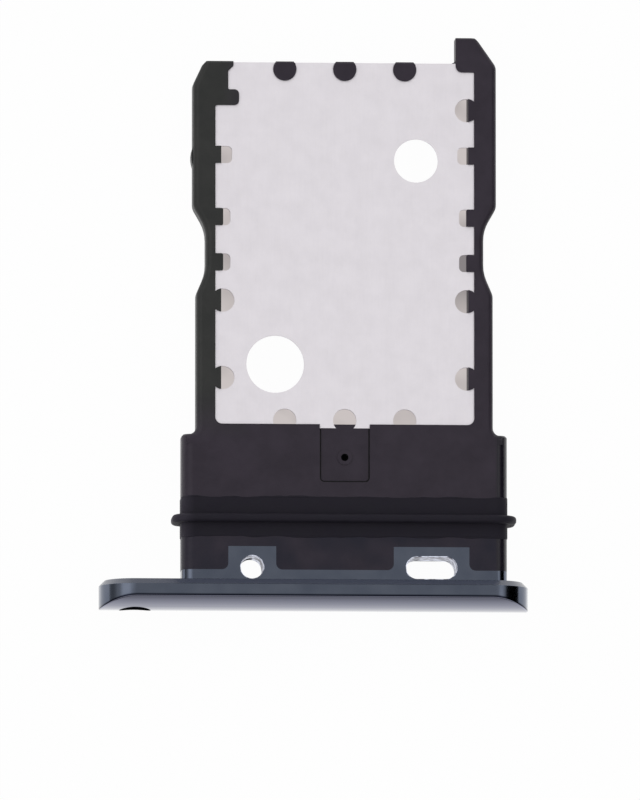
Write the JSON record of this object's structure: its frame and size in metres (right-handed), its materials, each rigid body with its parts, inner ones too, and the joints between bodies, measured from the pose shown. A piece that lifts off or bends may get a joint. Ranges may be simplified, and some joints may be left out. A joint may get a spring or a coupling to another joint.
{
  "type": "sim card tray",
  "caption": "Slide-in SIM card tray for a phone: dark faceplate with an eject hole, sealed plastic neck and frame, and a thin steel bed plate behind the card.",
  "frame": {"origin": "on the level of the faceplate's lower long edge, below the middle of the whole tray's length and of the faceplate's length", "axes": "+X along the faceplate, away from its eject hole; +Y from the faceplate towards the tail, the way the tray slides into the phone; +Z out of the bed plate's outer side, so the card's bed opens towards -Z"},
  "size_m": [0.0154, 0.0208, 0.0026],
  "materials": {
    "anodised_metal": "dark blue-black anodised, satin back and glossy front",
    "frame_plastic": "fine matt moulded",
    "bed_steel": "matt rolled sheet",
    "seal_silicone": "soft matt"
  },
  "bodies": {
    "root": {"faceplate": "anodised_metal", "tray_frame": "frame_plastic", "bed_plate": "bed_steel", "seal": "seal_silicone"}
  },
  "joints": []
}
